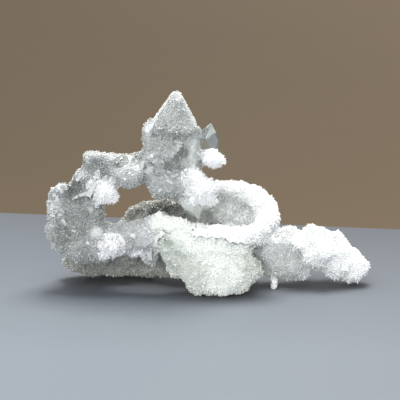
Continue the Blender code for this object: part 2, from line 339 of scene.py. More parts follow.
@dataclass(frozen=True)
class ClearFinish:
    """Clear apophyllite, seen through, with faint veils and growth lines.

    It is as smooth as polish, and rougher by up to veil in its cloudy places.
    """

    name: str
    tint: Colour
    absorption: Colour
    density: float
    clearness: float = 1.0
    polish: float = 0.05
    veil: float = 0.14
    veil_mm: float = 2.2
    line_mm: float = 0.9
    line_height_mm: float = 0.06

    def material(self) -> bpy.types.Material:
        """Build the material.

        Returns:
            A see-through material.
        """
        material, graph, shader = new_material(self.name)
        shader.inputs["Base Color"].default_value = (*self.tint, 1.0)
        shader.inputs["IOR"].default_value = APOPHYLLITE_IOR
        shader.inputs["Transmission Weight"].default_value = self.clearness
        cloud = graph.noise(self.veil_mm * MM, 3.0, 2.2)
        graph.feed(shader.inputs["Roughness"], cloud * self.veil + self.polish)
        lines = graph.bumps(self.line_mm * MM, 1.0, self.line_height_mm * MM, 0.12)
        graph.feed(shader.inputs["Normal"], lines)
        colour = {"Color": (*self.absorption, 1.0), "Density": self.density}
        volume = graph.node("ShaderNodeVolumeAbsorption", sockets=colour)
        output = material.node_tree.nodes["Material Output"]
        graph.feed(output.inputs["Volume"], volume.outputs[0])
        return material


@dataclass(frozen=True)
class PlainFinish:
    """A matte stage surface with a slight unevenness of tone.

    Lengths are metres. fade is painted shade: how much darker it is at the far distance
    behind the object than at the near distance before it. slant is painted light: how
    much brighter it grows for each metre to the right. contact is the colour of a
    painted shadow, by which its colour is multiplied where something stands on it, and
    contact_reach how far off that is felt.
    """

    name: str
    colour: Colour
    roughness: float
    unevenness: float
    size: float
    far_shade: float = 0.0
    near: float = 0.10
    far: float = 0.14
    side_light_slope: float = 0.0
    contact_shadow: Colour = (1.0, 1.0, 1.0)
    contact_reach: float = 18.0 * MM
    contact_samples: int = 8

    def material(self) -> bpy.types.Material:
        """Build the material.

        Returns:
            A matte material.
        """
        material, graph, shader = new_material(self.name)
        dark = tuple(channel * (1.0 - self.unevenness) for channel in self.colour)
        cloud = graph.noise(self.size, 3.0, 1.5)
        place = graph.node("ShaderNodeSeparateXYZ", sockets={0: graph.out("ShaderNodeTexCoord", "Object")})
        across, along = Sock(graph, place.outputs[0]), Sock(graph, place.outputs[1])
        # Painted shade that deepens towards the far edge, and painted light that changes from left to
        # right.
        run = self.near + self.far
        back = (along * (1.0 / run) + self.near / run).clamped()
        light = across * self.side_light_slope + 1.0 - back * self.far_shade
        tone = graph.mix(1.0, graph.mix(cloud, dark, self.colour), graph.grey(light), "MULTIPLY")
        # Painted shadow where something stands on the surface, from how much of the sky is open above.
        if min(self.contact_shadow) < 1.0:
            samples = {"samples": self.contact_samples}
            sky = graph.out("ShaderNodeAmbientOcclusion", "AO", samples, Distance=self.contact_reach)
            tone = graph.mix(1.0, tone, graph.mix(sky, self.contact_shadow, (1.0, 1.0, 1.0)), "MULTIPLY")
        graph.feed(shader.inputs["Base Color"], tone)
        shader.inputs["Roughness"].default_value = self.roughness
        return material


@dataclass(frozen=True)
class PhotoView:
    """The camera of the photograph, whose frame is 400 pixels square.

    target and distance are metres, lens and sensor millimetres.
    """

    target: Place = (-0.0043, -0.0019, 0.0375)
    distance: float = 0.70
    elevation: float = math.radians(12.0)
    lens: float = 150.0
    sensor: float = 36.0
    frame: float = 400.0

    @property
    def eye(self) -> Vector:
        """Where the camera stands."""
        back = Vector((0.0, -math.cos(self.elevation), math.sin(self.elevation)))
        return Vector(self.target) + back * self.distance

    @property
    def pitch(self) -> float:
        """The camera's turn up from looking straight down."""
        return math.pi / 2.0 - self.elevation

    @property
    def tilt(self) -> Matrix:
        """The same turn as a matrix, which takes the picture's axes to the room's."""
        return Matrix.Rotation(self.pitch, 3, "X")

    @property
    def per_pixel(self) -> float:
        """How wide a pixel is at the object, in metres."""
        return self.distance * self.sensor / self.lens / self.frame

    def ray(self, column: float, row: float) -> Vector:
        """Find the direction in which the camera sees a pixel.

        Args:
            column: pixels from the left.
            row: pixels from the top.

        Returns:
            The direction, one unit long.
        """
        across = (column - self.frame / 2.0) * self.sensor / self.lens / self.frame
        up = (self.frame / 2.0 - row) * self.sensor / self.lens / self.frame
        return (self.tilt @ Vector((across, up, -1.0))).normalized()

    def camera(self) -> bpy.types.Object:
        """Make the camera.

        Returns:
            The camera, which is the scene's own.
        """
        data = bpy.data.cameras.new("camera")
        data.lens = self.lens
        data.sensor_width = self.sensor
        camera = bpy.data.objects.new("camera", data)
        camera.location = self.eye
        camera.rotation_euler = (self.pitch, 0.0, 0.0)
        bpy.context.scene.collection.objects.link(camera)
        bpy.context.scene.camera = camera
        return camera


class Kind(Enum):
    """What a patch changes in the druse around it."""

    # Milky patches whiten the druse; in places this is painted light on lit rims, glints and shaded parts
    # made brighter.
    MILKY_AND_LIT = "milk"
    # Clearer patches make it greyer, and where milk falls below 0 they paint shade in recesses and on
    # shadowed walls.
    CLEARER_AND_SHADED = "clear"
    COARSE = "coarse"
    BARE = "bare"


@dataclass(frozen=True)
class Patch:
    """A round area of the druse, placed by a pixel of the photograph.

    column, row and radius are pixels; amount is how strongly it acts.
    """

    kind: Kind
    column: float
    row: float
    radius: float
    amount: float = 1.0


@dataclass(frozen=True)
class Coat:
    """The small crystals on a body, in millimetres; tilt is in degrees.

    The crystals stand spacing apart with their feet sunk in the body, which is drawn
    in by depth. The body itself has knobs and smaller lumps of the sizes given, with
    hollows between them that are as deep as knob and lump say. milk is how white the
    druse is where no patch changes it, from 0 to 1.
    """

    spacing: float
    width: float
    height: float
    sunk: float
    tilt: float
    lump: float = 0.8
    lump_size: float = 2.2
    knob: float = 1.6
    knob_size: float = 5.5
    milk: float = 0.5
    depth: float = 0.5


@dataclass(frozen=True)
class Shard:
    """A single larger crystal, drawn from a root pixel to a tip pixel.

    width is in pixels; toward is how much it points at the camera. The root is sunk
    in the surface, and above the tip pixel the sides close to a small end; SUNK and
    the rises are in half widths, the shares in the crystal's own width.
    """

    SUNK = 1.5
    SHOULDER_RISE = 0.4
    SHOULDER_SHARE = 0.92
    END_RISE = 1.5
    END_SHARE = 0.12
    FLATNESS = 0.8
    TINT = 0.6
    # The tip value at a shard's root, which sets how much painted shade the finish gives it there.
    ROOT_SHADE_TIP = 0.75

    root: tuple[float, float]
    tip: tuple[float, float]
    width: float = 5.0
    toward: float = 0.8
    milk: float = 0.4
    sides: int = 4

    def grow(self, bm: bmesh.types.BMesh, faces: BVHTree, form: BVHTree, view: PhotoView) -> None:
        """Add the crystal to a mesh.

        Args:
            bm: the mesh, with the layers milk, tint and tip.
            faces: the surface that the root pixel is found on.
            form: the solid that the crystal must not leave.
            view: the photograph's camera.
        """
        place, _, _, _ = faces.ray_cast(view.eye, view.ray(*self.root))
        if place is None:
            return
        step = Vector((self.tip[0] - self.root[0], self.root[1] - self.tip[1], 0.0))
        length = step.length * view.per_pixel
        way = (view.tilt @ (step.normalized() + Vector((0.0, 0.0, self.toward)))).normalized()
        half = self.width * view.per_pixel / 2.0
        root = place - way * half * self.SUNK
        turn = way.to_track_quat("Z", "Y")
        rings = (
            (0.0, 1.0),
            (length + half * self.SHOULDER_RISE, self.SHOULDER_SHARE),
            (length + half * self.END_RISE, self.END_SHARE),
        )
        layers = {name: bm.verts.layers.float[name] for name in ("milk", "tint", "tip")}
        loops = []
        for along, share in rings:
            loop = []
            for side in range(self.sides):
                angle = 2.0 * math.pi * (side + 0.5) / self.sides
                off = Vector((math.cos(angle), math.sin(angle) * self.FLATNESS, 0.0)) * half * share
                spot = root + turn @ (off + Vector((0.0, 0.0, along)))
                near, normal, _, _ = form.find_nearest(spot)
                if along > 0.0 and (spot - near).dot(normal) > 0.0:
                    spot = near
                vert = bm.verts.new(spot)
                vert[layers["milk"]] = self.milk
                vert[layers["tint"]] = self.TINT
                vert[layers["tip"]] = 1.0 if along > 0.0 else self.ROOT_SHADE_TIP
                loop.append(vert)
            loops.append(loop)
        for low, high in zip(loops, loops[1:]):
            for side in range(self.sides):
                beside = (side + 1) % self.sides
                bm.faces.new((low[side], low[beside], high[beside], high[side]))
        bm.faces.new(loops[-1])
        bm.faces.new(tuple(reversed(loops[0])))


# The block, the ball and the joint between them on top of the arch.
ARCH_TOP = (
    Patch(Kind.MILKY_AND_LIT, column=131, row=170, radius=13, amount=0.3),
    Patch(Kind.MILKY_AND_LIT, column=97, row=176, radius=6, amount=0.5),
    Patch(Kind.MILKY_AND_LIT, column=109, row=154, radius=6, amount=0.25),
    Patch(Kind.MILKY_AND_LIT, column=116, row=172, radius=6, amount=0.25),
    Patch(Kind.CLEARER_AND_SHADED, column=95, row=163, radius=9, amount=0.2),
    Patch(Kind.BARE, column=129, row=155, radius=8, amount=0.9),
    Patch(Kind.CLEARER_AND_SHADED, column=95, row=163, radius=4, amount=0.4),
    Patch(Kind.MILKY_AND_LIT, column=95, row=156, radius=12, amount=0.18),
    Patch(Kind.CLEARER_AND_SHADED, column=128, row=155, radius=8, amount=0.3),
    Patch(Kind.CLEARER_AND_SHADED, column=118, row=165, radius=4, amount=0.3),
)

# Glassy hollows at the left end, and coarse crystals there that are made whiter as painted glints.
LEFT_LOBE = (
    Patch(Kind.MILKY_AND_LIT, column=96, row=232, radius=6, amount=0.8),
    Patch(Kind.MILKY_AND_LIT, column=82, row=176, radius=6, amount=0.5),
    Patch(Kind.COARSE, column=82, row=176, radius=6, amount=0.8),
    Patch(Kind.MILKY_AND_LIT, column=61, row=190, radius=8, amount=0.25),
    Patch(Kind.COARSE, column=61, row=190, radius=9, amount=0.9),
    Patch(Kind.MILKY_AND_LIT, column=54, row=211, radius=8, amount=0.3),
    Patch(Kind.COARSE, column=54, row=209, radius=9, amount=0.9),
    Patch(Kind.CLEARER_AND_SHADED, column=74, row=190, radius=12, amount=0.4),
    Patch(Kind.MILKY_AND_LIT, column=49, row=228, radius=8, amount=0.2),
    Patch(Kind.CLEARER_AND_SHADED, column=80, row=222, radius=22, amount=0.2),
    Patch(Kind.BARE, column=98, row=208, radius=9, amount=0.8),
    Patch(Kind.CLEARER_AND_SHADED, column=70, row=184, radius=9, amount=0.3),
    Patch(Kind.CLEARER_AND_SHADED, column=60, row=236, radius=10, amount=0.3),
    Patch(Kind.MILKY_AND_LIT, column=76, row=212, radius=9, amount=0.15),
)

# The bridge along the bottom of the arch, and the edges of its tufts.
BRIDGE = (
    Patch(Kind.MILKY_AND_LIT, column=106, row=193, radius=16, amount=0.4),
    Patch(Kind.MILKY_AND_LIT, column=113, row=248, radius=15, amount=0.4),
    Patch(Kind.MILKY_AND_LIT, column=135, row=236, radius=26, amount=0.2),
    Patch(Kind.MILKY_AND_LIT, column=154, row=218, radius=10, amount=0.3),
    # Painted glint: coarse crystals made nearly white where they catch the light.
    Patch(Kind.MILKY_AND_LIT, column=138, row=256, radius=6, amount=0.8),
    Patch(Kind.COARSE, column=138, row=256, radius=6, amount=1.0),
    Patch(Kind.MILKY_AND_LIT, column=160, row=216, radius=9, amount=0.3),
    Patch(Kind.MILKY_AND_LIT, column=150, row=236, radius=14, amount=0.25),
    Patch(Kind.MILKY_AND_LIT, column=110, row=240, radius=12, amount=0.2),
)

# Painted shade on the ridge that shows through the arch, which stands in shadow behind it.
REAR_RIDGE = (
    Patch(Kind.CLEARER_AND_SHADED, column=133, row=213, radius=9, amount=0.65),
    Patch(Kind.CLEARER_AND_SHADED, column=146, row=206, radius=10, amount=0.65),
    Patch(Kind.CLEARER_AND_SHADED, column=161, row=204, radius=10, amount=0.65),
)

# The coated points.
POINTS = (
    Patch(Kind.MILKY_AND_LIT, column=157, row=113, radius=7, amount=0.25),
    Patch(Kind.BARE, column=157, row=113, radius=7, amount=0.6),
    Patch(Kind.BARE, column=177, row=94, radius=6, amount=0.5),
    Patch(Kind.MILKY_AND_LIT, column=214, row=160, radius=15, amount=0.4),
    Patch(Kind.BARE, column=146, row=168, radius=9, amount=0.9),
    Patch(Kind.MILKY_AND_LIT, column=143, row=166, radius=9, amount=0.3),
    Patch(Kind.MILKY_AND_LIT, column=149, row=128, radius=7, amount=0.7),
    Patch(Kind.MILKY_AND_LIT, column=153, row=161, radius=6, amount=0.5),
    Patch(Kind.MILKY_AND_LIT, column=190, row=140, radius=9, amount=0.2),
    Patch(Kind.CLEARER_AND_SHADED, column=160, row=150, radius=14, amount=0.15),
    Patch(Kind.BARE, column=190, row=158, radius=11, amount=0.75),
    Patch(Kind.BARE, column=193, row=140, radius=7, amount=0.6),
    # Painted shadow along the seam under the big point's base.
    Patch(Kind.CLEARER_AND_SHADED, column=175, row=133, radius=6, amount=0.35),
    # Painted shade just below the lozenge's lower-right edge.
    Patch(Kind.CLEARER_AND_SHADED, column=184, row=153, radius=5, amount=0.55),
    Patch(Kind.CLEARER_AND_SHADED, column=178, row=160, radius=5, amount=0.55),
    Patch(Kind.CLEARER_AND_SHADED, column=169, row=167, radius=5, amount=0.55),
    Patch(Kind.MILKY_AND_LIT, column=158, row=150, radius=10, amount=0.12),
    Patch(Kind.CLEARER_AND_SHADED, column=205, row=149, radius=5, amount=0.3),
    # Painted light along the lozenge's rim, above that shade.
    Patch(Kind.MILKY_AND_LIT, column=180, row=145, radius=4, amount=0.4),
    Patch(Kind.MILKY_AND_LIT, column=174, row=152, radius=4, amount=0.4),
    Patch(Kind.MILKY_AND_LIT, column=167, row=158, radius=4, amount=0.4),
    Patch(Kind.MILKY_AND_LIT, column=158, row=163, radius=4, amount=0.35),
    Patch(Kind.MILKY_AND_LIT, column=148, row=160, radius=4, amount=0.3),
    Patch(Kind.MILKY_AND_LIT, column=176, row=95, radius=7, amount=0.3),
)

# The arm under the points.
ARM = (
    # Painted shade on the shadowed wall behind the arm.
    Patch(Kind.CLEARER_AND_SHADED, column=168, row=211, radius=18, amount=0.75),
    Patch(Kind.MILKY_AND_LIT, column=190, row=178, radius=12, amount=0.4),
    Patch(Kind.MILKY_AND_LIT, column=160, row=182, radius=14, amount=0.15),
)

# The bowl inside the loop, with painted shade in its hollows and over its floor.
LOOP = (
    Patch(Kind.MILKY_AND_LIT, column=203, row=192, radius=22, amount=0.5),
    Patch(Kind.CLEARER_AND_SHADED, column=207, row=213, radius=10, amount=0.4),
    Patch(Kind.CLEARER_AND_SHADED, column=246, row=210, radius=8, amount=0.4),
    Patch(Kind.CLEARER_AND_SHADED, column=207, row=216, radius=7, amount=0.4),
    Patch(Kind.CLEARER_AND_SHADED, column=195, row=213, radius=12, amount=0.4),
    Patch(Kind.CLEARER_AND_SHADED, column=230, row=212, radius=20, amount=0.45),
    Patch(Kind.BARE, column=230, row=210, radius=18, amount=0.5),
    Patch(Kind.CLEARER_AND_SHADED, column=222, row=186, radius=9, amount=0.3),
)

# The cream mass: painted shade in its pits, painted light that lifts its top under the loop's overhang and
# its shaded bottom, and greyer places across its lower half.
FRONT_MASS = (
    Patch(Kind.CLEARER_AND_SHADED, column=167, row=243, radius=5, amount=0.6),
    Patch(Kind.MILKY_AND_LIT, column=176, row=222, radius=15, amount=0.35),
    Patch(Kind.MILKY_AND_LIT, column=226, row=282, radius=14, amount=0.4),
    Patch(Kind.CLEARER_AND_SHADED, column=243, row=263, radius=9, amount=0.35),
    Patch(Kind.CLEARER_AND_SHADED, column=192, row=262, radius=10, amount=0.2),
    Patch(Kind.MILKY_AND_LIT, column=215, row=240, radius=24, amount=0.25),
    Patch(Kind.MILKY_AND_LIT, column=245, row=252, radius=18, amount=0.2),
    Patch(Kind.MILKY_AND_LIT, column=226, row=285, radius=20, amount=0.5),
    Patch(Kind.MILKY_AND_LIT, column=200, row=246, radius=20, amount=0.3),
    Patch(Kind.MILKY_AND_LIT, column=232, row=252, radius=16, amount=0.25),
    Patch(Kind.MILKY_AND_LIT, column=190, row=228, radius=20, amount=0.2),
    Patch(Kind.CLEARER_AND_SHADED, column=172, row=262, radius=12, amount=0.25),
)

# Painted shade in the tail's hollows and in the recess beside the cream mass, and the bright end of the
# tail.
TAIL = (
    Patch(Kind.CLEARER_AND_SHADED, column=266, row=269, radius=11, amount=0.4),
    Patch(Kind.CLEARER_AND_SHADED, column=290, row=280, radius=9, amount=0.3),
    Patch(Kind.CLEARER_AND_SHADED, column=258, row=262, radius=8, amount=0.5),
    Patch(Kind.CLEARER_AND_SHADED, column=300, row=260, radius=7, amount=0.35),
    Patch(Kind.CLEARER_AND_SHADED, column=288, row=266, radius=20, amount=0.5),
    Patch(Kind.MILKY_AND_LIT, column=350, row=265, radius=22, amount=0.3),
)

PATCHES = ARCH_TOP + LEFT_LOBE + BRIDGE + REAR_RIDGE + POINTS + ARM + LOOP + FRONT_MASS + TAIL

# Single crystals that stand out of the druse of each solid.
SHARDS = {
    "left_arch": (
        Shard(root=(91, 190), tip=(100, 173), width=9, toward=0.15, milk=0.42),
        Shard(root=(90, 192), tip=(71, 200), width=8, toward=0.2),
        Shard(root=(57, 201), tip=(55, 196), width=6, toward=0.9, milk=0.5),
        Shard(root=(64, 222), tip=(62, 217), toward=0.9, milk=0.35),
        Shard(root=(50, 226), tip=(46, 225)),
        Shard(root=(87, 160), tip=(85, 155), milk=0.35),
        Shard(root=(128, 150), tip=(130, 146)),
        Shard(root=(133, 236), tip=(129, 232), width=6, toward=0.9, milk=0.6),
        Shard(root=(146, 228), tip=(142, 225), width=6, toward=0.9, milk=0.6),
        # These crystals stand at glints, and their milk is partly their own white and partly a painted
        # glint.
        Shard(root=(79, 178), tip=(83, 173), milk=0.6),
        Shard(root=(60, 190), tip=(56, 184)),
        Shard(root=(66, 187), tip=(66, 181), width=4, milk=0.3),
        Shard(root=(55, 197), tip=(50, 194), toward=0.7, milk=0.5),
        Shard(root=(54, 206), tip=(49, 203), milk=0.55),
        Shard(root=(61, 211), tip=(57, 208), toward=0.9, milk=0.35),
        Shard(root=(52, 216), tip=(48, 216), width=4, toward=0.7, milk=0.5),
        Shard(root=(75, 231), tip=(71, 227), width=4, toward=0.9, milk=0.35),
        Shard(root=(88, 244), tip=(85, 240), width=4, toward=0.9),
        # Painted glint: this crystal is made nearly white.
        Shard(root=(140, 254), tip=(137, 257), toward=0.7, milk=0.8),
        Shard(root=(150, 257), tip=(151, 266), width=7, toward=0.2, milk=0.25, sides=3),
    ),
    "point_cluster": (
        Shard(root=(147, 131), tip=(144, 127), milk=0.9),
        Shard(root=(152, 126), tip=(153, 122), width=4, toward=0.9, milk=0.9),
        Shard(root=(152, 158), tip=(151, 163), toward=0.7, milk=0.8),
        Shard(root=(178, 142), tip=(183, 144), toward=0.2, milk=0.1),
        Shard(root=(175, 148), tip=(181, 152), toward=0.2, milk=0.1),
        Shard(root=(170, 155), tip=(174, 161), toward=0.2, milk=0.15),
        Shard(root=(161, 161), tip=(163, 167), toward=0.2, milk=0.15),
        Shard(root=(143, 144), tip=(140, 142), milk=0.6),
    ),
    "centre_arm": (
        Shard(root=(168, 171), tip=(164, 168), width=6, toward=0.7, milk=0.5),
        Shard(root=(176, 175), tip=(180, 173), width=6, toward=0.7, milk=0.5),
        Shard(root=(170, 182), tip=(174, 185), milk=0.45),
        Shard(root=(166, 176), tip=(163, 171), milk=0.5),
        Shard(root=(160, 190), tip=(156, 193), milk=0.5),
    ),
    "front_mass": (
        Shard(root=(171, 276), tip=(168, 280), toward=0.7),
        Shard(root=(183, 252), tip=(180, 249), toward=0.9, milk=0.6),
        Shard(root=(205, 262), tip=(208, 259), toward=0.9, milk=0.7),
    ),
}


class CoatTree:
    """The Geometry Nodes tree that roughens a body and grows crystals on it.

    Knobs and lumps are the cells of a pattern that noise sways. Hollows run between
    them: they start at HOLLOW_FROM of a cell's size from its middle and deepen by
    HOLLOW_GAIN and the power HOLLOW_BEND, and HIDDEN_RELIEF is how much of that is
    left where a point has no cover.

    SHAPES gives each kind of crystal its number of sides and how wide its top is
    against its foot. A crystal's size is drawn from the two ranges. Where the druse
    is coarse it grows by the COARSE shares, and where its own random number is above
    BOLD_FROM by the BOLD ones.
    """

    SIZES = (
        "Spacing",
        "Width",
        "Height",
        "Sunk",
        "Tilt",
        "Lump Height",
        "Lump Size",
        "Knob Height",
        "Knob Size",
    )
    INPUTS = (
        *((name, "NodeSocketFloat") for name in SIZES),
        ("Seed", "NodeSocketInt"),
        ("Material", "NodeSocketMaterial"),
    )
    SWAY_SIZE = 4.0 * MM
    SWAY_REACH = 2.4 * MM
    HOLLOW_FROM = 0.12
    HOLLOW_GAIN = 1.35
    HOLLOW_BEND = 1.4
    HIDDEN_RELIEF = 0.25
    BODY_TINT = 0.45
    SHAPES = ((4, 0.12), (4, 0.42), (5, 0.2))
    DENSITY = 2.6
    WIDTH_RANGE = (0.65, 1.25)
    HEIGHT_RANGE = (0.6, 1.15)
    COARSE_WIDTH = 1.3
    COARSE_HEIGHT = 0.7
    BOLD_FROM = 0.92
    BOLD_WIDTH = 0.9
    BOLD_HEIGHT = 0.7

    def __init__(self) -> None:
        """Build the tree once; every piece shares it."""
        self.tree = bpy.data.node_groups.new("crystal_coat", "GeometryNodeTree")
        face = self.tree.interface
        face.new_socket("Geometry", in_out="INPUT", socket_type="NodeSocketGeometry")
        self.keys = {
            name: face.new_socket(name, in_out="INPUT", socket_type=kind).identifier
            for name, kind in self.INPUTS
        }
        face.new_socket("Geometry", in_out="OUTPUT", socket_type="NodeSocketGeometry")
        self.graph = Graph(self.tree)
        self.given = self.graph.node("NodeGroupInput")
        body = self._roughened_body()
        coat = self._crystals(body)
        joined = self.graph.node("GeometryNodeJoinGeometry")
        self.graph.feed(joined.inputs[0], body)
        self.graph.feed(joined.inputs[0], coat)
        whole = self.graph.out("GeometryNodeRealizeInstances", 0, Geometry=joined.outputs[0])
        dressed = self.graph.out(
            "GeometryNodeSetMaterial", 0, Geometry=whole, Material=self._input("Material")
        )
        self.graph.node("NodeGroupOutput", sockets={0: dressed})

    def _input(self, name: str) -> Sock:
        """One of the tree's own inputs."""
        return Sock(self.graph, self.given.outputs[name])

    def _named(self, name: str) -> Sock:
        """An attribute of the body."""
        return self.graph.out(
            "GeometryNodeInputNamedAttribute", "Attribute", {"data_type": "FLOAT"}, Name=name
        )

    def _random(self, low: Any, high: Any, offset: int, kind: str = "FLOAT") -> Sock:
        """Make a random number for each crystal.

        Args:
            low: the least value.
            high: the greatest value.
            offset: what is added to the piece's seed.
            kind: the number's type.

        Returns:
            The number.
        """
        node = self.graph.node("FunctionNodeRandomValue", {"data_type": kind})
        seed = self._input("Seed") + offset
        for key, value in (("Min", low), ("Max", high)):
            self.graph.feed([s for s in node.inputs if s.name == key and s.enabled][0], value)
        self.graph.feed(node.inputs["Seed"], seed)
        return Sock(self.graph, [s for s in node.outputs if s.enabled][0])

    def _roughened_body(self) -> Sock:
        """Press hollows into the body, between its knobs and its lumps.

        Returns:
            The body, with its tint and tip stored.
        """
        graph = self.graph
        place = graph.out("GeometryNodeInputPosition", 0)
        warp = graph.out("ShaderNodeTexNoise", 1, Scale=1.0 / self.SWAY_SIZE, Detail=2.0)
        sway = graph.node("ShaderNodeVectorMath", {"operation": "MULTIPLY_ADD"})
        for number, value in enumerate((warp, (self.SWAY_REACH,) * 3, place)):
            graph.feed(sway.inputs[number], value)
        swayed = Sock(graph, sway.outputs[0])
        free = self._named("cover") * (1.0 - self.HIDDEN_RELIEF) + self.HIDDEN_RELIEF
        reach: Any = 0.0
        for kind in ("Knob", "Lump"):
            scale = graph.math("DIVIDE", 1.0, self._input(f"{kind} Size"))
            cells = graph.out(
                "ShaderNodeTexVoronoi", 0, {"feature": "SMOOTH_F1"}, Vector=swayed, Scale=scale
            )
            rise = (cells - self.HOLLOW_FROM).clamped() * self.HOLLOW_GAIN
            hollow = graph.math("POWER", rise, self.HOLLOW_BEND)
            reach = hollow * self._input(f"{kind} Height") * -1.0 * free + reach
        shift = graph.node("ShaderNodeVectorMath", {"operation": "SCALE"})
        graph.feed(shift.inputs[0], graph.out("GeometryNodeInputNormal", 0))
        graph.feed(shift.inputs["Scale"], reach)
        moved = graph.out(
            "GeometryNodeSetPosition", 0, Geometry=self._input("Geometry"), Offset=shift.outputs[0]
        )
        smooth = graph.out("GeometryNodeSetShadeSmooth", 0, Geometry=moved, Shade_Smooth=True)
        # The body's tip is 0, so the finish paints it with the full painted shade of the crystals' roots.
        return self._stored(self._stored(smooth, "tint", self.BODY_TINT), "tip", 0.0)

    def _stored(self, geometry: Sock, name: str, value: Any) -> Sock:
        """Write a value on a geometry's points.

        Args:
            geometry: the points or the mesh.
            name: the attribute's name.
            value: a number or a link.

        Returns:
            The geometry that holds it.
        """
        return self.graph.out(
            "GeometryNodeStoreNamedAttribute",
            0,
            {"data_type": "FLOAT", "domain": "POINT"},
            Geometry=geometry,
            Name=name,
            Value=value,
        )

    def _shapes(self) -> Sock:
        """Make the shapes of crystal, one unit wide and tall.

        Returns:
            The shapes, as instances to pick from.
        """
        graph = self.graph
        whole = graph.node("GeometryNodeJoinGeometry")
        for sides, top in self.SHAPES:
            cone = graph.node(
                "GeometryNodeMeshCone",
                {"fill_type": "NGON"},
                {"Vertices": sides, "Radius Top": top * 0.5, "Radius Bottom": 0.5, "Depth": 1.0},
            )
            flat = graph.out(
                "GeometryNodeSetShadeSmooth", 0, Geometry=cone.outputs["Mesh"], Shade_Smooth=False
            )
            # Each crystal stores its height as tip, by which the finish paints shade at its root.
            height = graph.node("ShaderNodeSeparateXYZ")
            graph.feed(height.inputs[0], graph.out("GeometryNodeInputPosition", 0))
            single = graph.node("GeometryNodeGeometryToInstance")
            graph.feed(single.inputs[0], self._stored(flat, "tip", Sock(graph, height.outputs[2])))
            graph.feed(whole.inputs[0], single.outputs[0])
        return Sock(graph, whole.outputs[0])

    def _crystals(self, body: Sock) -> Sock:
        """Stand crystals on the body, closely spaced and turned at random.

        Args:
            body: the roughened body.

        Returns:
            The crystals, as instances.
        """
        graph = self.graph
        spacing = self._input("Spacing")
        spread = graph.node("GeometryNodeDistributePointsOnFaces", {"distribute_method": "POISSON"})
        graph.feed(spread.inputs["Mesh"], body)
        graph.feed(spread.inputs["Distance Min"], spacing)
        graph.feed(spread.inputs["Density Max"], graph.math("DIVIDE", self.DENSITY, spacing * spacing))
        graph.feed(spread.inputs["Density Factor"], self._named("cover"))
        graph.feed(spread.inputs["Seed"], self._input("Seed"))
        tinted = self._stored(Sock(graph, spread.outputs["Points"]), "tint", self._random(0.0, 1.0, 11))
        tilt = self._input("Tilt")
        lean = graph.out(
            "ShaderNodeCombineXYZ",
            0,
            X=self._random(tilt * -1.0, tilt, 21),
            Y=self._random(tilt * -1.0, tilt, 31),
            Z=self._random(0.0, 2.0 * math.pi, 41),
        )
        turned = graph.out(
            "FunctionNodeRotateRotation",
            0,
            {"rotation_space": "LOCAL"},
            Rotation=Sock(graph, spread.outputs["Rotation"]),
            Rotate_By=lean,
        )
        coarse = self._named("coarse")
        bold = graph.math("GREATER_THAN", self._random(0.0, 1.0, 81), self.BOLD_FROM)
        size = self._random(*self.WIDTH_RANGE, 51)
        size = size * (coarse * self.COARSE_WIDTH + 1.0) * (bold * self.BOLD_WIDTH + 1.0)
        across = self._input("Width") * size
        growth = self._random(*self.HEIGHT_RANGE, 61)
        growth = growth * (coarse * self.COARSE_HEIGHT + 1.0) * (bold * self.BOLD_HEIGHT + 1.0)
        tall = self._input("Height") * growth
        scale = graph.out("ShaderNodeCombineXYZ", 0, X=across, Y=across, Z=tall)
        grown = graph.node("GeometryNodeInstanceOnPoints")
        graph.feed(grown.inputs["Points"], tinted)
        graph.feed(grown.inputs["Instance"], self._shapes())
        graph.feed(grown.inputs["Pick Instance"], True)
        which = self._random(0, len(self.SHAPES) - 1, 71, "INT")
        graph.feed(grown.inputs["Instance Index"], which)
        graph.feed(grown.inputs["Rotation"], turned)
        graph.feed(grown.inputs["Scale"], scale)
        sink = graph.out("ShaderNodeCombineXYZ", 0, X=0.0, Y=0.0, Z=self._input("Sunk") * -1.0)
        return graph.out(
            "GeometryNodeTranslateInstances",
            0,
            Instances=Sock(graph, grown.outputs[0]),
            Translation=sink,
            Local_Space=True,
        )

    def apply(self, obj: bpy.types.Object, coat: Coat, seed: int, material: bpy.types.Material) -> None:
        """Run the tree on an object and keep the result as its mesh.

        Args:
            obj: the body, with the attributes milk, coarse and cover.
            coat: the crystals' sizes.
            seed: the seed of this piece.
            material: the finish of body and crystals.
        """
        grow = obj.modifiers.new("coat", "NODES")
        grow.node_group = self.tree
        values = {
            "Spacing": coat.spacing * MM,
            "Width": coat.width * MM,
            "Height": coat.height * MM,
            "Sunk": coat.sunk * MM,
            "Tilt": math.radians(coat.tilt),
            "Lump Height": coat.lump * MM,
            "Lump Size": coat.lump_size * MM,
            "Knob Height": coat.knob * MM,
            "Knob Size": coat.knob_size * MM,
            "Seed": seed,
            "Material": material,
        }
        for name, value in values.items():
            grow[self.keys[name]] = value
        bake(obj)
        obj.data.materials.clear()
        obj.data.materials.append(material)


def bake(obj: bpy.types.Object) -> None:
    """Turn an object's modifiers into a plain mesh.

    Args:
        obj: the object, whose mesh is exchanged.
    """
    graph = bpy.context.evaluated_depsgraph_get()
    mesh = bpy.data.meshes.new_from_object(obj.evaluated_get(graph))
    old = obj.data
    obj.modifiers.clear()
    obj.data = mesh
    bpy.data.meshes.remove(old)


def coordinates(mesh: bpy.types.Mesh) -> np.ndarray:
    """Read the places of a mesh's points.

    Args:
        mesh: the mesh.

    Returns:
        The places, one row each.
    """
    flat = np.empty(len(mesh.vertices) * 3, np.float64)
    mesh.vertices.foreach_get("co", flat)
    return flat.reshape(-1, 3)


def tree_of(objects: Iterable[bpy.types.Object]) -> BVHTree:
    """Make a search tree over the faces of several objects.

    Args:
        objects: meshes whose places are their own.

    Returns:
        The tree.
    """
    points: list[Vector] = []
    faces: list[tuple[int, ...]] = []
    for obj in objects:
        first = len(points)
        points += [vert.co.copy() for vert in obj.data.vertices]
        faces += [tuple(first + i for i in face.vertices) for face in obj.data.polygons]
    return BVHTree.FromPolygons(points, faces)


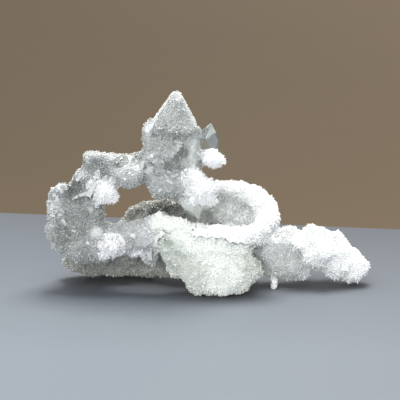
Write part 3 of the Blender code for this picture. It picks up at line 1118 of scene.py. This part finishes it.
@dataclass
class Druse:
    """A grown piece: a smooth body under a coat of small crystals.

    Lengths are millimetres. Within near of another solid, the body reaches bite into
    it where the two face each other, that is where the cosine of the angle between
    them is above facing, and keeps joint_cover of its crystals. Above beside it is
    drawn in by only the share rim of the coat's depth. A patch acts in full to 0.55
    of its radius and ends at 1.45 of it, as PATCH_REACH and PATCH_FALL say.
    """

    node: str
    slot: str
    finish: DruseFinish
    coat: Coat
    seed: int
    voxel: float = 0.6
    near: float = 0.9
    bite: float = 1.5
    facing: float = 0.6
    joint_cover: float = 0.6
    beside: float = -0.2
    rim: float = 0.35
    soften: int = 3
    foot: float = 0.4
    weld: float = 0.001

    PATCH_REACH = 1.6
    PATCH_FALL = 1.1
    # Milk below 0 is darkened by the finish, as painted shade in recesses and on shadowed walls and as a
    # darker glassy tone elsewhere.
    MILK_RANGE = (-0.8, 1.0)
    TIP_FROM = 0.5

    def build(self, nodes: dict, coat_tree: CoatTree, view: PhotoView) -> bpy.types.Object:
        """Make the piece from its solid.

        Args:
            nodes: the solids by name.
            coat_tree: the tree that grows the crystals.
            view: the photograph's camera, which places the patches.

        Returns:
            The finished piece.
        """
        body = self._body(nodes[self.node])
        cover = self._fit_to_neighbours(body, nodes)
        self._store(body, nodes, view, cover)
        coat_tree.apply(body, self.coat, self.seed, self.finish.material())
        self._keep_in_form(body, nodes[self.node])
        self._add_shards(body, nodes, view)
        return body

    def _body(self, solid: bpy.types.Object) -> bpy.types.Object:
        """Copy the solid with a fine, even mesh.

        Args:
            solid: the solid.

        Returns:
            The copy, a little smoothed.
        """
        mesh = bpy.data.meshes.new(self.node + "_druse")
        bm = bmesh.new()
        bm.from_mesh(solid.data)
        bmesh.ops.remove_doubles(bm, verts=bm.verts, dist=self.weld * MM)
        bm.to_mesh(mesh)
        bm.free()
        body = bpy.data.objects.new(mesh.name, mesh)
        bpy.context.scene.collection.objects.link(body)
        remesh = body.modifiers.new("remesh", "REMESH")
        remesh.mode = "VOXEL"
        remesh.voxel_size = self.voxel * MM
        soften = body.modifiers.new("soften", "SMOOTH")
        soften.factor = 0.5
        soften.iterations = self.soften
        bake(body)
        return body

    def _fit_to_neighbours(self, body: bpy.types.Object, nodes: dict) -> np.ndarray:
        """Draw the body in for its coat, but let it bite into what it grows against.

        Args:
            body: the meshed copy.
            nodes: the solids by name.

        Returns:
            For each point, 1 where all its crystals stand and less at a joint.
        """
        others = tree_of(obj for name, obj in nodes.items() if name != self.node)
        places = coordinates(body.data)
        flat = np.empty(places.size, np.float64)
        body.data.vertex_normals.foreach_get("vector", flat)
        normals = flat.reshape(-1, 3)
        cover = np.ones(len(places))
        moved = places - normals * self.coat.depth * MM
        for index, spot in enumerate(places):
            near, _, _, distance = others.find_nearest(spot, self.near * MM)
            if near is None or distance == 0.0:
                continue
            way = (np.array(near) - spot) / distance
            facing = way @ normals[index]
            if facing > self.facing:
                moved[index] = spot + way * (distance + self.bite * MM)
                cover[index] = self.joint_cover
            elif facing > self.beside:
                moved[index] = spot - normals[index] * self.coat.depth * self.rim * MM
        body.data.vertices.foreach_set("co", moved.ravel())
        body.data.update()
        return cover

    def _store(self, body: bpy.types.Object, nodes: dict, view: PhotoView, cover: np.ndarray) -> None:
        """Write milk, coarse and cover onto the body, from the coat and the patches.

        Args:
            body: the meshed copy.
            nodes: the solids by name, on which the patches' pixels are found.
            view: the photograph's camera.
            cover: how many crystals each point keeps, from 0 to 1.
        """
        places = coordinates(body.data)
        milk = np.full(len(places), self.coat.milk)
        coarse = np.zeros(len(places))
        faces = tree_of(nodes.values())
        for patch in PATCHES:
            hit, _, _, _ = faces.ray_cast(view.eye, view.ray(patch.column, patch.row))
            if hit is None:
                continue
            away = np.linalg.norm(places - np.array(hit), axis=1)
            share = away / (patch.radius * view.per_pixel)
            near = np.clip(self.PATCH_REACH - share * self.PATCH_FALL, 0.0, 1.0)
            weight = near * near * (3.0 - 2.0 * near) * patch.amount
            # Milky patches add whiteness, in places painted light; clearer ones take it away, and below 0
            # it is painted shade.
            if patch.kind is Kind.MILKY_AND_LIT:
                milk = milk + weight
            elif patch.kind is Kind.CLEARER_AND_SHADED:
                milk = milk - weight
            elif patch.kind is Kind.COARSE:
                coarse = np.maximum(coarse, weight)
            else:
                cover = cover * (1.0 - weight)
        cover = np.where(places[:, 2] < self.foot * MM, 0.0, cover)
        milk = np.clip(milk, *self.MILK_RANGE)
        for name, values in (("milk", milk), ("coarse", coarse), ("cover", cover)):
            attribute = body.data.attributes.new(name, "FLOAT", "POINT")
            attribute.data.foreach_set("value", values.astype(np.float32))

    def _keep_in_form(self, body: bpy.types.Object, solid: bpy.types.Object) -> None:
        """Pull every crystal tip that leaves the solid back to its surface.

        Args:
            body: the dressed body.
            solid: the solid that it stands for.
        """
        places = coordinates(body.data)
        tips = np.empty(len(places), np.float32)
        body.data.attributes["tip"].data.foreach_get("value", tips)
        form = tree_of([solid])
        for index in np.flatnonzero(tips > self.TIP_FROM):
            place = Vector(places[index])
            near, normal, _, _ = form.find_nearest(place)
            if (place - near).dot(normal) > 0.0:
                places[index] = near
        places[:, 2] = np.maximum(places[:, 2], 0.0)
        body.data.vertices.foreach_set("co", places.ravel())
        body.data.update()

    def _add_shards(self, body: bpy.types.Object, nodes: dict, view: PhotoView) -> None:
        """Add this piece's larger single crystals.

        Args:
            body: the dressed body.
            nodes: the solids by name.
            view: the photograph's camera.
        """
        shards = SHARDS.get(self.node, ())
        if not shards:
            return
        faces = tree_of(nodes.values())
        form = tree_of([nodes[self.node]])
        bm = bmesh.new()
        bm.from_mesh(body.data)
        for shard in shards:
            shard.grow(bm, faces, form, view)
        bm.to_mesh(body.data)
        bm.free()


@dataclass
class ClearCrystal:
    """A clear crystal, which is its solid with a finish of its own."""

    node: str
    finish: ClearFinish

    def dress(self, nodes: dict) -> None:
        """Give the solid its finish."""
        mesh = nodes[self.node].data
        mesh.materials.clear()
        mesh.materials.append(self.finish.material())


@dataclass(frozen=True)
class SoftLight:
    """A square light that hangs at place and faces aim; metres and watts."""

    name: str
    place: Place
    size: float
    power: float
    colour: Colour
    aim: Place = (0.0, 0.0, 0.03)

    def hang(self) -> None:
        """Make the light."""
        data = bpy.data.lights.new(self.name, "AREA")
        data.size = self.size
        data.energy = self.power
        data.color = self.colour
        lamp = bpy.data.objects.new(self.name, data)
        lamp.location = self.place
        way = Vector(self.aim) - Vector(self.place)
        lamp.rotation_euler = way.to_track_quat("-Z", "Y").to_euler()
        bpy.context.scene.collection.objects.link(lamp)


@dataclass
class Stage:
    """The table, the backdrop beyond its far edge, and the lights; metres.

    edge_left and edge_right are how far back the table's far edge runs, at two places
    edge_span apart.
    """

    table: PlainFinish
    backdrop: PlainFinish
    lights: tuple[SoftLight, ...]
    edge_left: float = 0.142
    edge_right: float = 0.104
    edge_span: float = 0.2
    reach: float = 1.6
    thickness: float = 0.03
    drop: float = 0.45
    backdrop_reach: float = 12.0
    room_colour: Colour = (0.975, 0.985, 1.0)
    room_strength: float = 0.68

    def build(self) -> None:
        """Make the stage and light it."""
        self._table()
        self._backdrop()
        for light in self.lights:
            light.hang()
        world = bpy.data.worlds.new("room")
        world.use_nodes = True
        back = world.node_tree.nodes["Background"]
        back.inputs["Color"].default_value = (*self.room_colour, 1.0)
        back.inputs["Strength"].default_value = self.room_strength
        bpy.context.scene.world = world
        bpy.context.scene.view_settings.view_transform = "Standard"

    def _table(self) -> None:
        """A slab whose far edge runs a little askew, as in the photograph."""
        slope = (self.edge_right - self.edge_left) / self.edge_span
        middle = (self.edge_right + self.edge_left) / 2.0
        bm = bmesh.new()
        bmesh.ops.create_cube(bm, size=1.0)
        for vert in bm.verts:
            x = vert.co.x * 2.0 * self.reach
            y = middle + slope * x if vert.co.y > 0.0 else -self.reach
            z = 0.0 if vert.co.z > 0.0 else -self.thickness
            vert.co = (x, y, z)
        self._finish(bm, "table", self.table)

    def _backdrop(self) -> None:
        """A wide sheet well below the table."""
        bm = bmesh.new()
        bmesh.ops.create_grid(bm, x_segments=1, y_segments=1, size=self.backdrop_reach)
        bmesh.ops.translate(bm, verts=bm.verts, vec=(0.0, 0.0, -self.drop))
        self._finish(bm, "backdrop", self.backdrop)

    def _finish(self, bm: bmesh.types.BMesh, name: str, finish: PlainFinish) -> None:
        """Turn a bmesh into a dressed piece of the stage.

        Args:
            bm: the shape, which is freed.
            name: the piece's name.
            finish: its finish.
        """
        mesh = bpy.data.meshes.new(name)
        bm.to_mesh(mesh)
        bm.free()
        obj = bpy.data.objects.new(name, mesh)
        bpy.context.scene.collection.objects.link(obj)
        mesh.materials.append(finish.material())


GREY_DRUSE = DruseFinish("grey_druse", (0.34, 0.362, 0.346), (0.90, 0.92, 0.92), deep_root_shade=0.8)
POINT_DRUSE = DruseFinish(
    "frosted_point", (0.385, 0.412, 0.388), (0.92, 0.94, 0.93), speckle=0.3, deep_root_shade=0.8
)
CREAM_DRUSE = DruseFinish(
    "cream_druse",
    (0.53, 0.57, 0.505),
    (0.905, 0.93, 0.885),
    speckle=0.15,
    deep_root_shade=0.88,
    white_root_shade=0.93,
    subsurface=0.3,
    scatter_mm=0.9,
)
WHITE_DRUSE = DruseFinish(
    "white_druse",
    (0.55, 0.58, 0.56),
    (0.965, 0.975, 0.972),
    speckle=0.2,
    deep_root_shade=0.8,
    white_root_shade=0.9,
    subsurface=0.3,
    scatter_mm=0.9,
)
SHADED_DRUSE = DruseFinish("shaded_druse", (0.46, 0.47, 0.425), (0.72, 0.74, 0.70))
TUFT = DruseFinish(
    "snowy_tuft",
    (0.85, 0.87, 0.87),
    (0.985, 0.99, 0.99),
    speckle=0.1,
    white_root_shade=0.94,
    subsurface=0.3,
    scatter_mm=0.9,
)
CLEAR = ClearFinish(
    "clear_apophyllite", (0.94, 0.955, 0.95), (0.65, 0.71, 0.68), density=90.0, clearness=0.93
)
HANGING = ClearFinish(
    "veiled_apophyllite", (0.90, 0.93, 0.90), (0.70, 0.76, 0.72), density=20.0, clearness=0.6
)

# The table: painted shade towards its far edge and its right, and a brownish painted shadow where the
# specimen stands on it.
TABLE = PlainFinish(
    "pale_table",
    (0.133, 0.1535, 0.179),
    roughness=0.6,
    unevenness=0.03,
    size=0.15,
    far_shade=0.58,
    side_light_slope=-0.9,
    contact_shadow=(0.2, 0.165, 0.12),
)
# The backdrop: painted light that brightens it towards the right.
BACKDROP = PlainFinish(
    "taupe_backdrop", (0.275, 0.198, 0.118), roughness=0.9, unevenness=0.05, size=0.9, side_light_slope=0.16
)
LIGHTS = (
    SoftLight("key", (0.12, 0.36, 1.0), 0.55, 19.0, (1.0, 0.99, 0.975)),
    SoftLight("fill", (-0.2, -1.2, 0.5), 1.0, 15.5, (0.98, 0.99, 1.0)),
)

FINE = Coat(
    spacing=0.52,
    width=0.6,
    height=1.1,
    sunk=0.35,
    tilt=32.0,
    milk=0.9,
    depth=0.7,
    lump=1.0,
    lump_size=1.8,
    knob=1.2,
    knob_size=4.2,
)
WOOLLY = Coat(
    spacing=0.52,
    width=0.62,
    height=0.9,
    sunk=0.35,
    tilt=30.0,
    milk=0.88,
    depth=0.5,
    knob=2.8,
    knob_size=6.2,
)
GLASSY = Coat(
    spacing=0.58, width=0.85, height=0.7, sunk=0.3, tilt=24.0, milk=0.22, depth=0.4, knob=1.2
)
DULL = Coat(spacing=0.62, width=0.85, height=0.6, sunk=0.3, tilt=20.0, milk=0.2, depth=0.4)
FROSTED = Coat(
    spacing=0.52,
    width=0.66,
    height=0.75,
    sunk=0.3,
    tilt=24.0,
    milk=0.25,
    depth=0.35,
    lump=0.6,
    knob=0.9,
    knob_size=4.5,
)
CREAMY = Coat(
    spacing=0.62,
    width=0.85,
    height=0.85,
    sunk=0.35,
    tilt=24.0,
    milk=0.52,
    depth=0.45,
    lump=0.8,
    knob=1.0,
)
SPIKY = Coat(
    spacing=0.42,
    width=0.44,
    height=1.5,
    sunk=0.4,
    tilt=34.0,
    milk=0.93,
    depth=0.85,
    lump=0.9,
    lump_size=1.6,
    knob=1.5,
    knob_size=3.4,
)

DRUSES = (
    Druse("left_arch", "grey_druse", GREY_DRUSE, GLASSY, 101),
    Druse("centre_arm", "grey_druse", GREY_DRUSE, GLASSY, 102),
    Druse("point_cluster", "coated_points", POINT_DRUSE, FROSTED, 103, voxel=0.45, soften=1),
    Druse("front_mass", "cream_druse", CREAM_DRUSE, CREAMY, 104),
    Druse("curled_loop", "white_druse", WHITE_DRUSE, FINE, 105),
    Druse("tail", "white_druse", WHITE_DRUSE, WOOLLY, 106),
    Druse("rear_mass", "shaded_druse", SHADED_DRUSE, DULL, 107),
    *(
        Druse(node, "white_tuft", TUFT, SPIKY, seed, voxel=0.45, near=0.7, bite=1.3)
        for seed, node in enumerate(("arch_tuft", "lobe_tuft", "top_tuft", "arm_tuft"), 108)
    ),
)
CLEAR_CRYSTALS = (ClearCrystal("clear_point", CLEAR), ClearCrystal("hanging_crystal", HANGING))


def main() -> None:
    """Build the specimen and its stage."""
    logging.basicConfig(level=logging.INFO, format="%(name)s: %(message)s")
    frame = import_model()
    nodes = frame["nodes"]
    view = PhotoView()
    view.camera()
    Stage(TABLE, BACKDROP, LIGHTS).build()
    coat_tree = CoatTree()
    made = []
    for druse in DRUSES:
        piece = druse.build(nodes, coat_tree, view)
        made.append((piece, druse))
        triangles = sum(len(face.vertices) - 2 for face in piece.data.polygons)
        LOG.info("%s: %d triangles", piece.name, triangles)
    for piece, druse in made:
        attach(piece, "root")
        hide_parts(druse.node)
    for crystal in CLEAR_CRYSTALS:
        crystal.dress(nodes)
        LOG.info("%s: dressed", crystal.node)


if __name__ == "__main__":
    main()
